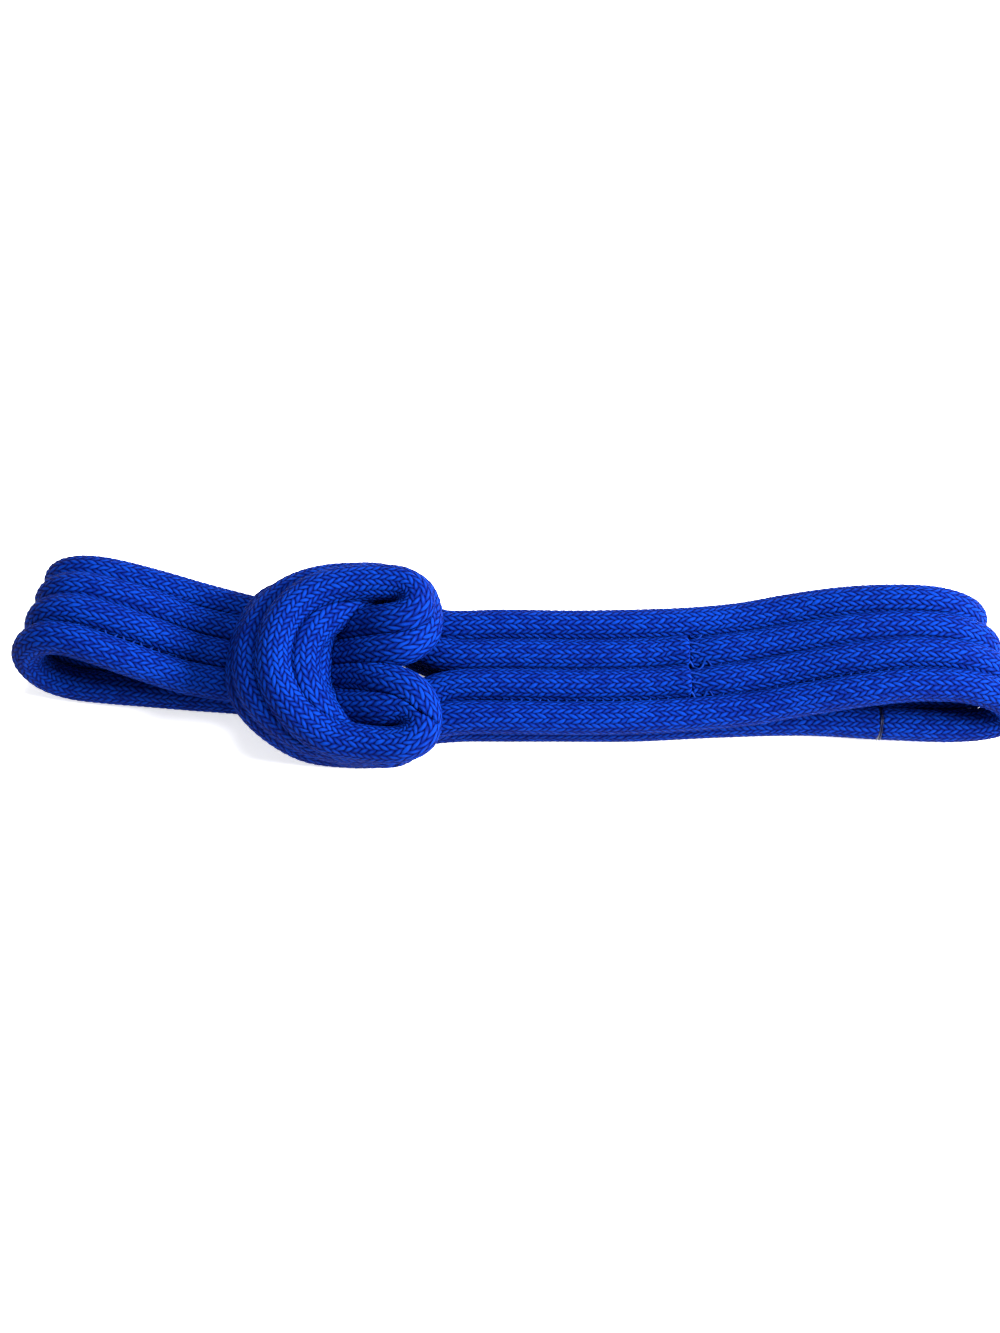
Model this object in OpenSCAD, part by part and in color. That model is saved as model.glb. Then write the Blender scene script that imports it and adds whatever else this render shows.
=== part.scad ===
// Halter-cord strap: two flat bands of round braided cord, looped through each other in a
// tight girth hitch, with an open eye at each end. Units are millimetres, +X runs along the
// strap to the right, +Y to the far edge, +Z up, and the strap lies on z = 0.

/* [Cord] */
// Diameter of the braided cord where it lies free
cord_d = 6.2; // [5.8:0.1:6.4]
// Diameter that a cord is squeezed to inside the hitch
squeezed_d = 4.9; // [4.4:0.1:5.2]
// Share of a cord's diameter that its core yarns fill
core_share = 0.6; // [0.4:0.05:0.7]
// Diameter of the sewing thread in the seams
thread_d = 0.8; // [0.5:0.1:1]

/* [Tubes] */
// Sides of a cord's outside
cord_sides = 8; // [8:1:12]
// Sides of a cord's core
core_sides = 6; // [6:1:8]

/* [Joints in the cords] */
// Place along the strap of the cut in the two middle cords of the right band
middle_cut_x = 32; // [26:1:38]
// Place along the strap of the cut in the near cord of the right band, in its lower layer
lower_cut_x = 68; // [62:1:72]
// Thickness of the fused skin on a cut end
fused_t = 0.5; // [0.3:0.1:0.8]

/* [Hidden] */
CORD_COLOUR = "royalblue";
CORE_COLOUR = "aliceblue";
THREAD_COLOUR = "cornflowerblue";
clearance = 0.15;

// The eye of the left band: each cord leaves the hitch in the upper layer, turns round the
// open end and comes back in the lower layer. Cord 1 is the far one, cord 4 the near one.
LEFT_ROUTES = [
    [[-61, 14.6, 9.2], [-66, 15.6, 10.6], [-72, 16.6, 12.4], [-78, 17.6, 13.6], [-83, 18.2, 13.4],
     [-86.8, 18.4, 11.6], [-88.4, 18.4, 8.2], [-87, 18, 4.8], [-83, 17.2, 3.2], [-77, 16, 3.1],
     [-69, 14.4, 3.1], [-61, 13.4, 3.1]],
    [[-61, 9.4, 9.4], [-66, 10.6, 11.2], [-72, 11.8, 13.8], [-78, 12.8, 15.6], [-83.4, 13.6, 15.6],
     [-87.4, 13.6, 13.4], [-89.2, 13, 9.4], [-87.6, 12.2, 5.2], [-83, 11.4, 3.3], [-77, 10.2, 3.1],
     [-69, 8.8, 3.1], [-61, 7.8, 3.1]],
    [[-61, 3.8, 9.4], [-66, 4.8, 11.6], [-72, 6, 14.8], [-78, 7.2, 17], [-83.2, 8.2, 17.2],
     [-87.8, 8.4, 15.2], [-90.2, 7.6, 10.4], [-88.4, 6.4, 5.4], [-84, 5.6, 3.3], [-77, 4.4, 3.1],
     [-69, 3.2, 3.1], [-61, 2.2, 3.1]],
    [[-61, -2.4, 9.4], [-66, -1.8, 11.8], [-72, -0.8, 15], [-78, 0.6, 17.4], [-83.4, 2, 18],
     [-88.6, 2.6, 16.2], [-91.8, 1.8, 11], [-90, 0.4, 5.8], [-85.4, -0.6, 3.3], [-79, -1.4, 3.1],
     [-70, -2.2, 3.1], [-61, -3, 3.1]]
];

// The eye of the right band, run the same way from the upper to the lower layer.
RIGHT_ROUTES = [
    [[-3, 8.8, 9.2], [10, 8.6, 9.2], [22, 8.8, 9.2], [32, 9.2, 9.2], [42, 10, 9.6],
     [52, 11.2, 11.2], [62, 11.6, 13.4], [72, 11.4, 14.6], [79, 11, 14.2], [84.4, 10.4, 11.8],
     [86.4, 9.8, 8.4], [84.6, 9.4, 4.8], [79, 9.4, 3.3], [68, 9.6, 3.1], [54, 9.8, 3.1],
     [38, 9.8, 3.1], [22, 9.4, 3.1], [8, 9.4, 3.1], [-3, 9.4, 3.1]],
    [[-3, 2.6, 9.3], [10, 2.4, 9.3], [22, 2.6, 9.3], [32, 3, 9.3], [42, 3.8, 9.7], [52, 5, 11.4],
     [62, 5.6, 13.6], [72, 5.8, 14.8], [80, 5.4, 14.4], [86, 4.6, 12], [88.2, 3.8, 8.6],
     [86.2, 3.2, 5], [80, 3.2, 3.3], [68, 3.6, 3.1], [54, 4, 3.1], [38, 3.8, 3.1], [22, 3.2, 3.1],
     [8, 3.2, 3.1], [-3, 3.2, 3.1]],
    [[-3, -3.6, 9.3], [10, -3.8, 9.3], [22, -3.6, 9.3], [32, -3.2, 9.3], [42, -2.4, 9.7],
     [52, -1, 11.4], [62, -0.2, 13.8], [72, 0.2, 15.2], [81, -0.2, 14.8], [87.6, -1.2, 12.2],
     [90, -2, 8.6], [87.8, -2.8, 5], [81, -3, 3.3], [68, -2.6, 3.1], [54, -2, 3.1], [38, -2.4, 3.1],
     [22, -3, 3.1], [8, -3, 3.1], [-3, -3, 3.1]],
    [[-3, -10, 9.2], [10, -10.2, 9.2], [22, -10, 9.2], [32, -9.4, 9.2], [42, -8.6, 9.6],
     [52, -7.4, 11.2], [62, -6.6, 13.6], [72, -6, 15], [81.6, -6.2, 14.8], [88.8, -7.4, 12.4],
     [91.6, -8.4, 8.8], [89.4, -9.2, 5.2], [82, -9.4, 3.3], [68, -8.8, 3.1], [54, -8, 3.1],
     [38, -8.4, 3.1], [22, -9.2, 3.1], [8, -9.2, 3.1], [-3, -9.2, 3.1]]
];

// The left band's cords through the hitch: in under the crescents, up into the far lobe,
// round its tight turn, back along the far arm, over everything in the outer crescent, and
// the same way out through the near arm and the near lobe. 1 and 2 are the upper layer's
// outer and inner pair, 3 and 4 the lower layer's inner and outer pair.
WRAP_ROUTES = [
    [[-53, 12.6, 8.4], [-46.5, 10.8, 8], [-40, 8.6, 8.2], [-35.4, 7.4, 10], [-32, 6.6, 12.8],
     [-28.8, 5.6, 16], [-24.8, 4.8, 19], [-21.2, 4.8, 20.4], [-19, 6.4, 20.6], [-18.8, 9.4, 20.6],
     [-21, 11.6, 20.6], [-25.2, 12.2, 20.6], [-31.4, 11.8, 20.8], [-37.6, 9.8, 21.2],
     [-42.4, 5, 21.4], [-44.2, -1.6, 21.4], [-43.4, -7.8, 20.4], [-39.8, -12.8, 17.8],
     [-34.4, -16.2, 15.4], [-28.6, -17.2, 14.8], [-24, -17.8, 15], [-20.4, -17.6, 15.4],
     [-18, -15.9, 15.9], [-18, -12.7, 16.4], [-20.8, -10.9, 16.6], [-25, -10.8, 15.8],
     [-29, -9.8, 13.6], [-32.6, -8.4, 10.8], [-36.4, -6.8, 8.8], [-40.6, -5.6, 8],
     [-46.5, -4.2, 8], [-53, -3.4, 8.4]],
    [[-53, 7.8, 8.4], [-46.5, 5.8, 8], [-40, 3.8, 8.2], [-35.4, 2.4, 9.8], [-32, 1, 12.4],
     [-28.4, 0.2, 15.4], [-24.4, -0.2, 17.8], [-20.8, 0, 18.6], [-17.8, 3, 17.6], [-17.4, 8, 16.2],
     [-19.2, 12.8, 15.6], [-24, 14.8, 15], [-30.4, 15.4, 15.2], [-37.4, 14.4, 15.8],
     [-43.2, 11, 17.2], [-47.2, 5.2, 18.4], [-48.8, -1.8, 18.8], [-47.8, -7.8, 17.8],
     [-44, -12.2, 15.4], [-38, -15.2, 12.2], [-31, -16, 10.4], [-24.8, -16, 10.4],
     [-20.2, -15.8, 12.4], [-17.4, -14, 15.4], [-17.8, -10.2, 17.4], [-20.8, -7.6, 18],
     [-24.8, -6, 16.8], [-28.4, -4, 14.4], [-32.4, -3, 11.2], [-36.4, -2, 8.8], [-40.6, -1.2, 8],
     [-46.5, 0.4, 8], [-53, 2.2, 8.4]],
    [[-53, 7.4, 3.1], [-46.5, 5.8, 3], [-40, 3.8, 3.2], [-35.4, 2.6, 4.6], [-31.6, 1.8, 7.2],
     [-27.8, 1.6, 10.2], [-24.2, 1.8, 12.6], [-20.8, 3, 13.6], [-18.2, 6.2, 13], [-17.8, 11, 11.4],
     [-19.4, 15.2, 8.8], [-22.4, 18, 5.6], [-28, 18.4, 4.2], [-35, 17.6, 5], [-41, 15.4, 8.2],
     [-46.6, 11.8, 12.6], [-50, 5.2, 13.2], [-51, -1.6, 13.2], [-50, -7.2, 12.8],
     [-45.8, -11.2, 9.4], [-39.4, -13.8, 5], [-32, -14.2, 3.1], [-26.4, -14.2, 3.1], [-22, -14.8, 6],
     [-19.2, -13.6, 10.8], [-18.6, -10.2, 12.8], [-21, -7, 13.2], [-24, -4.6, 12.4], [-28, -3.4, 9.8],
     [-32, -2.8, 6.8], [-36, -2, 4.4], [-40.6, -1.2, 3.2], [-46.5, 0.4, 3], [-53, 2.2, 3.1]],
    [[-53, 12.4, 3.1], [-46.5, 10.8, 3], [-40, 8.6, 3.2], [-35.4, 7.4, 4.8], [-31.6, 6.4, 7.8],
     [-28, 6, 11], [-24.4, 6.6, 13.8], [-21.6, 10, 14.8], [-21.6, 13.8, 12.8], [-25, 17.4, 10.6],
     [-31, 18.2, 10], [-37, 16.4, 10.6], [-42, 12.2, 12.4], [-45.2, 6.2, 13], [-46, -1.6, 13.2],
     [-45, -7.2, 12.8], [-40.8, -12.2, 10.4], [-34.6, -14.6, 7.6], [-28, -15.2, 6.6],
     [-23.6, -15, 7], [-21.4, -13.2, 9.2], [-22.6, -10.6, 10.6], [-26.2, -9.2, 9.6],
     [-30, -8.2, 7.2], [-34, -7.2, 4.8], [-38, -6.2, 3.4], [-42, -5.2, 3], [-47, -4.2, 3],
     [-53, -3.6, 3.1]]
];

// The right band's cords through the hitch: in beneath the lobes, up through the far hole,
// over the left band's legs in the inner crescent, and down again through the near hole.
BIGHT_ROUTES = [
    [[-11, 8.6, 9], [-16, 9.2, 8.2], [-21, 11.8, 7.6], [-26, 13.6, 9], [-31, 12.8, 12],
     [-35.6, 10.4, 15], [-40.4, 5.8, 17], [-42.2, -1.8, 17.4], [-41, -6.8, 16.4],
     [-37.6, -10.8, 13.4], [-33.4, -12.8, 9.4], [-28, -12.4, 6.4], [-22, -11.2, 6.8],
     [-16, -10.4, 8], [-11, -10, 9]],
    [[-11, 2.6, 9], [-16, 3.6, 8.2], [-20.6, 6.4, 8.4], [-24, 9.2, 10.8], [-27.2, 10.4, 14],
     [-31.4, 9, 16.6], [-35.6, 5.8, 18.2], [-38.4, 1.6, 18.8], [-39.2, -2.2, 18.8], [-38.8, -6.2, 18.4],
     [-37.2, -10, 16.8], [-34.4, -12.8, 13.6], [-30.6, -13.4, 10.6], [-26, -10.8, 8],
     [-21, -7.2, 8], [-16, -4.6, 8.2], [-11, -3.6, 9]],
    [[-11, 3.2, 3.1], [-16, 4, 3], [-21, 6.4, 3.2], [-26, 9.6, 5], [-30.4, 11, 8], [-34, 9.6, 12],
     [-37, 4.8, 13.6], [-38, -2.2, 13.8], [-37.2, -7.6, 13], [-33.6, -11.2, 11.2],
     [-30.6, -11.4, 7.4], [-26.6, -8, 3.6], [-21, -6, 3.1], [-11, -3, 3.1]],
    [[-11, 9.4, 3.1], [-16, 9.8, 3], [-21, 11.2, 3.1], [-26, 13.8, 4.2], [-31.4, 13.8, 6.8],
     [-36.4, 12.2, 9.8], [-40, 8.4, 12.6], [-41.4, 2.8, 13.2], [-41.6, -2.2, 13.2],
     [-40.8, -7.4, 12.4], [-37.6, -10.4, 8.8], [-33, -11, 4.4], [-27, -11.4, 3.1], [-20, -9.8, 3.1],
     [-11, -9.2, 3.1]]
];

function spline_point(a, b, c, d, t) =
    0.5 * (2 * b + (c - a) * t + (2 * a - 5 * b + 4 * c - d) * t * t
           + (3 * b - a - 3 * c + d) * t * t * t);
// The route's own points with one more on the smooth curve between each two that stand wide apart.
function smooth(p) = [
    for (i = [0 : len(p) - 1]) each concat(
        [p[i]],
        i < len(p) - 1 && norm(p[i + 1] - p[i]) < 9
            ? [spline_point(p[max(i - 1, 0)], p[i], p[i + 1], p[min(i + 2, len(p) - 1)], 0.5)]
            : [])
];
function unit(v) = v / max(norm(v), 0.000001);
function heading(p, i) = unit(p[min(i + 1, len(p) - 1)] - p[max(i - 1, 0)]);
function square_to(v, t) = unit(v - t * (v * t));
// The sideways direction of each ring, carried along the route without twisting.
function sideways(p, i = 0, last = [0, 0, 1], out = []) =
    i == len(p) ? out
    : let(s = square_to(last, heading(p, i))) sideways(p, i + 1, s, concat(out, [s]));
function rings(p, d, sides) =
    let(s = sideways(p))
    [for (i = [0 : len(p) - 1])
        let(t = heading(p, i), u = s[i], v = cross(t, u), r = d / 2 / cos(90 / sides))
        for (k = [0 : sides - 1]) p[i] + r * (cos(360 * k / sides) * u + sin(360 * k / sides) * v)];
// The triangles between each ring and the next.
function skin(n, sides) = [
    for (i = [0 : n - 2], k = [0 : sides - 1])
        let(a = i * sides + k, b = i * sides + (k + 1) % sides)
        each [[a, a + sides, b], [b, a + sides, b + sides]]
];

module rod(route, d, sides) {
    p = smooth(route);
    n = len(p);
    polyhedron(
        rings(p, d, sides),
        concat(skin(n, sides),
               [[for (k = [0 : sides - 1]) k]],
               [[for (k = [sides - 1 : -1 : 0]) (n - 1) * sides + k]]));
}
// A sheath: the cord's outside, with a bore along its whole length for the core.
module sheath(route, d) {
    color(CORD_COLOUR) difference() {
        rod(route, d, cord_sides);
        rod(extended(route), d * core_share + 2 * clearance, core_sides);
    }
}
function extended(p) = concat(
    [p[0] - 0.5 * heading(p, 0)], p, [p[len(p) - 1] + 0.5 * heading(p, len(p) - 1)]);
module core(route, d) { color(CORE_COLOUR) rod(route, d * core_share, core_sides); }

// A route comes out in the upper layer, over upper_z, and goes back in the lower one. The cut
// in the middle cords is on the way out, and the cut in the near cord on the way back.
upper_z = 8;
function leg(p, upper) = [for (q = p) if ((q[2] > upper_z) == upper) q];
function cut_point(p, x, upper) =
    let(q = upper ? leg(p, true) : [for (i = [len(p) - 1 : -1 : 0]) if (p[i][2] < upper_z) p[i]])
    [x, lookup(x, [for (r = q) [r[0], r[1]]]), lookup(x, [for (r = q) [r[0], r[2]]])];
cut_gap = fused_t + clearance;
clear_of_cut = 4;
function before_middle_cut(p) = concat(
    [for (q = leg(p, true)) if (q[0] < middle_cut_x - clear_of_cut) q],
    [cut_point(p, middle_cut_x - cut_gap, true)]);
function after_middle_cut(p) = concat(
    [cut_point(p, middle_cut_x + cut_gap, true)],
    [for (q = p) if (q[2] < upper_z || q[0] > middle_cut_x + clear_of_cut) q]);
function before_lower_cut(p) = concat(
    [for (q = p) if (q[2] > upper_z || q[0] > lower_cut_x + clear_of_cut) q],
    [cut_point(p, lower_cut_x + cut_gap, false)]);
function after_lower_cut(p) = concat(
    [cut_point(p, lower_cut_x - cut_gap, false)],
    [for (q = leg(p, false)) if (q[0] < lower_cut_x - clear_of_cut) q]);
function right_route(k) =
    k == 4 ? before_lower_cut(RIGHT_ROUTES[3])
    : k == 1 ? RIGHT_ROUTES[0] : after_middle_cut(RIGHT_ROUTES[k - 1]);

// A seam: the sewing thread that lies in the groove between two neighbouring cords, on the
// outer face of the band all round its eye.
groove = sqrt(pow((cord_d + thread_d) / 2, 2) - pow(cord_d / 2, 2)) + 0.3;
function outer_face(p, i) = unit(cross([0, 1, 0], heading(p, i)));
function seam_route(a, b, side) =
    let(m = [for (i = [0 : len(a) - 1]) (a[i] + b[i]) / 2])
    [for (i = [0 : len(m) - 1]) m[i] + side * groove * outer_face(m, i)];
module seam(a, b, side) { color(THREAD_COLOUR) rod(seam_route(a, b, side), thread_d, 6); }

// The sizes that the cords are drawn to: pressed together a little in the left band, nearly
// free in the right band.
left_d = 0.9 * cord_d;
right_d = 0.97 * cord_d;
module left_cord(k) { sheath(LEFT_ROUTES[k - 1], left_d); }
module left_core(k) { core(LEFT_ROUTES[k - 1], left_d); }
module wrap_cord(k) { sheath(WRAP_ROUTES[k - 1], squeezed_d); }
module wrap_core(k) { core(WRAP_ROUTES[k - 1], squeezed_d); }
module bight_cord(k) { sheath(BIGHT_ROUTES[k - 1], squeezed_d); }
module bight_core(k) { core(BIGHT_ROUTES[k - 1], squeezed_d); }
module right_cord(k) { sheath(right_route(k), right_d); }
module right_core(k) { core(right_route(k), right_d); }
module short_cord(k) { sheath(before_middle_cut(RIGHT_ROUTES[k - 1]), right_d); }
module short_core(k) { core(before_middle_cut(RIGHT_ROUTES[k - 1]), right_d); }
module lower_cord_4() { sheath(after_lower_cut(RIGHT_ROUTES[3]), right_d); }
module lower_core_4() { core(after_lower_cut(RIGHT_ROUTES[3]), right_d); }

// The heat-fused skins on the two facing ends at a cut.
module fused_ends(end) {
    color(CORD_COLOUR) for (side = [-1, 1])
        translate(end + [side * (fused_t + clearance) / 2, 0, 0])
            rotate([0, 90, 0]) cylinder(d = right_d, h = fused_t, center = true, $fn = 32);
}
module middle_joint_ends() {
    for (k = [2, 3]) fused_ends(cut_point(RIGHT_ROUTES[k - 1], middle_cut_x, true));
}
module lower_joint_ends() { fused_ends(cut_point(RIGHT_ROUTES[3], lower_cut_x, false)); }
// Stitches laid over the cut, which hold each pair of ends to each other.
stitch_l = 7;
stitch_apart = 1.8;
module middle_joint_stitches() {
    color(THREAD_COLOUR) for (k = [2, 3], side = [-1, 1])
        translate(cut_point(RIGHT_ROUTES[k - 1], middle_cut_x, true)
                  + [0, side * stitch_apart / 2, (cord_d + thread_d) / 2 + clearance])
            rotate([0, 90, 0]) cylinder(d = thread_d, h = stitch_l, center = true, $fn = 16);
}

for (k = [1 : 4]) {
    left_cord(k);
    left_core(k);
    wrap_cord(k);
    wrap_core(k);
    bight_cord(k);
    bight_core(k);
    right_cord(k);
    right_core(k);
}
for (k = [2, 3]) {
    short_cord(k);
    short_core(k);
}
for (k = [1 : 3]) {
    seam(LEFT_ROUTES[k - 1], LEFT_ROUTES[k], 1);
    seam(RIGHT_ROUTES[k - 1], RIGHT_ROUTES[k], -1);
}
middle_joint_ends();
middle_joint_stitches();
lower_joint_ends();
lower_cord_4();
lower_core_4();
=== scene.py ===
import math

import bpy
import numpy as np
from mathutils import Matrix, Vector


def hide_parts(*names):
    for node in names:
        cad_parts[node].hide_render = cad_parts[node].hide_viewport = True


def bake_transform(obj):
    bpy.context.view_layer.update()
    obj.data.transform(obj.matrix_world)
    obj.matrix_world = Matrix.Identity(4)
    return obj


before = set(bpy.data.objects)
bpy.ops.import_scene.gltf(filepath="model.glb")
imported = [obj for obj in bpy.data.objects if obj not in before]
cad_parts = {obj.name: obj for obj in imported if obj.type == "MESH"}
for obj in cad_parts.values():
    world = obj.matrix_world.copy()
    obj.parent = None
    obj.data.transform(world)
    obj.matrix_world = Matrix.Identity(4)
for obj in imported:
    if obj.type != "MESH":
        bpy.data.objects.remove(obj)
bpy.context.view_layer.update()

# ---------------------------------------------------------------- sizes, in metres

MM = 0.001
CORD_R = 3.05 * MM  # a cord's radius in the bands, before its neighbours press on it
HITCH_R = 3.3 * MM  # and inside the hitch, where it is drawn a little fuller
CORE_SHARE = 0.6  # share of that radius that the core yarns fill
CORE_SIDES = 10
CORE_INSET = 4 * MM  # how far a core stops short of its cord's ends
THREAD_R = 0.24 * MM  # sewing thread
THREAD_SIDES = 6
THINNEST = 1.2 * MM  # a pressed cord keeps at least this radius
PRESS_GAP = 0.03 * MM  # left on each side of the plane between two pressed cords
PRESS_NEAREST = 28  # neighbouring points that are weighed at each ring
PRESS_BATCH = 120  # rings worked out at a time, to save memory
PRESS_BLUR = 23  # mesh steps over which the bulge beside a pressed face fades
SELF_PRESS = 9 * MM  # a cord presses on itself only where it is further off than this along it
ROWS = 20  # rows of ticks round a braid
STEPS_PER_ROW = 3  # mesh steps over one row
STEPS_PER_TICK = 4  # mesh steps along one tick
TICK_L = 1.42 * MM  # length of one tick along a cord
BULGE = 0.9  # share of the pressed-in depth that comes out beside it
MOST_BULGE = 0.14  # as a share of the radius
RELIEF = 0.27 * MM  # from the bottom of a groove to the crown of a tick
SLANT = 0.8  # ticks that a strand moves along while it crosses its row
HITCH_X = (-50 * MM, -14 * MM)  # the stretch of the strap that the hitch fills
CUT_GAP = 0.06 * MM  # half of the gap between two facing ends
END_ROUNDING = 0.3 * MM  # the length over which a cut end's edge is rounded

# ---------------------------------------------------------------- routes, in millimetres
# Each list is one cord's way through one part of the strap. LEFT and RIGHT
# run from the hitch in the upper layer, round an eye and back in the lower layer. WRAP and
# BIGHT are the same cords inside the hitch.

LEFT = [
    [[-61, 14.6, 9.2], [-66, 15.6, 10.6], [-72, 16.6, 12.4], [-78, 17.6, 13.6], [-83, 18.2, 13.4],
     [-86.8, 18.4, 11.6], [-88.4, 18.4, 8.2], [-87, 18, 4.8], [-83, 17.2, 3.2], [-77, 16, 3.1],
     [-69, 14.4, 3.1], [-61, 13.4, 3.1]],
    [[-61, 9.4, 9.4], [-66, 10.6, 11.2], [-72, 11.8, 13.8], [-78, 12.8, 15.6], [-83.4, 13.6, 15.6],
     [-87.4, 13.6, 13.4], [-89.2, 13, 9.4], [-87.6, 12.2, 5.2], [-83, 11.4, 3.3], [-77, 10.2, 3.1],
     [-69, 8.8, 3.1], [-61, 7.8, 3.1]],
    [[-61, 3.8, 9.4], [-66, 4.8, 11.6], [-72, 6, 14.8], [-78, 7.2, 17], [-83.2, 8.2, 17.2],
     [-87.8, 8.4, 15.2], [-90.2, 7.6, 10.4], [-88.4, 6.4, 5.4], [-84, 5.6, 3.3], [-77, 4.4, 3.1],
     [-69, 3.2, 3.1], [-61, 2.2, 3.1]],
    [[-61, -2.4, 9.4], [-66, -1.8, 11.8], [-72, -0.8, 15], [-78, 0.6, 17.4], [-83.4, 2, 18],
     [-88.6, 2.6, 16.2], [-91.8, 1.8, 11], [-90, 0.4, 5.8], [-85.4, -0.6, 3.3], [-79, -1.4, 3.1],
     [-70, -2.2, 3.1], [-61, -3, 3.1]],
]
RIGHT = [
    [[-3, 8.8, 9.2], [10, 8.6, 9.2], [22, 8.8, 9.2], [32, 9.2, 9.2], [42, 10, 9.6],
     [52, 11.2, 11.2], [62, 11.6, 13.4], [72, 11.4, 14.6], [79, 11, 14.2], [84.4, 10.4, 11.8],
     [86.4, 9.8, 8.4], [84.6, 9.4, 4.8], [79, 9.4, 3.3], [68, 9.6, 3.1], [54, 9.8, 3.1],
     [38, 9.8, 3.1], [22, 9.4, 3.1], [8, 9.4, 3.1], [-3, 9.4, 3.1]],
    [[-3, 2.6, 9.3], [10, 2.4, 9.3], [22, 2.6, 9.3], [32, 3, 9.3], [42, 3.8, 9.7], [52, 5, 11.4],
     [62, 5.6, 13.6], [72, 5.8, 14.8], [80, 5.4, 14.4], [86, 4.6, 12], [88.2, 3.8, 8.6],
     [86.2, 3.2, 5], [80, 3.2, 3.3], [68, 3.6, 3.1], [54, 4, 3.1], [38, 3.8, 3.1], [22, 3.2, 3.1],
     [8, 3.2, 3.1], [-3, 3.2, 3.1]],
    [[-3, -3.6, 9.3], [10, -3.8, 9.3], [22, -3.6, 9.3], [32, -3.2, 9.3], [42, -2.4, 9.7],
     [52, -1, 11.4], [62, -0.2, 13.8], [72, 0.2, 15.2], [81, -0.2, 14.8], [87.6, -1.2, 12.2],
     [90, -2, 8.6], [87.8, -2.8, 5], [81, -3, 3.3], [68, -2.6, 3.1], [54, -2, 3.1], [38, -2.4, 3.1],
     [22, -3, 3.1], [8, -3, 3.1], [-3, -3, 3.1]],
    [[-3, -10, 9.2], [10, -10.2, 9.2], [22, -10, 9.2], [32, -9.4, 9.2], [42, -8.6, 9.6],
     [52, -7.4, 11.2], [62, -6.6, 13.6], [72, -6, 15], [81.6, -6.2, 14.8], [88.8, -7.4, 12.4],
     [91.6, -8.4, 8.8], [89.4, -9.2, 5.2], [82, -9.4, 3.3], [68, -8.8, 3.1], [54, -8, 3.1],
     [38, -8.4, 3.1], [22, -9.2, 3.1], [8, -9.2, 3.1], [-3, -9.2, 3.1]],
]
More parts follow.
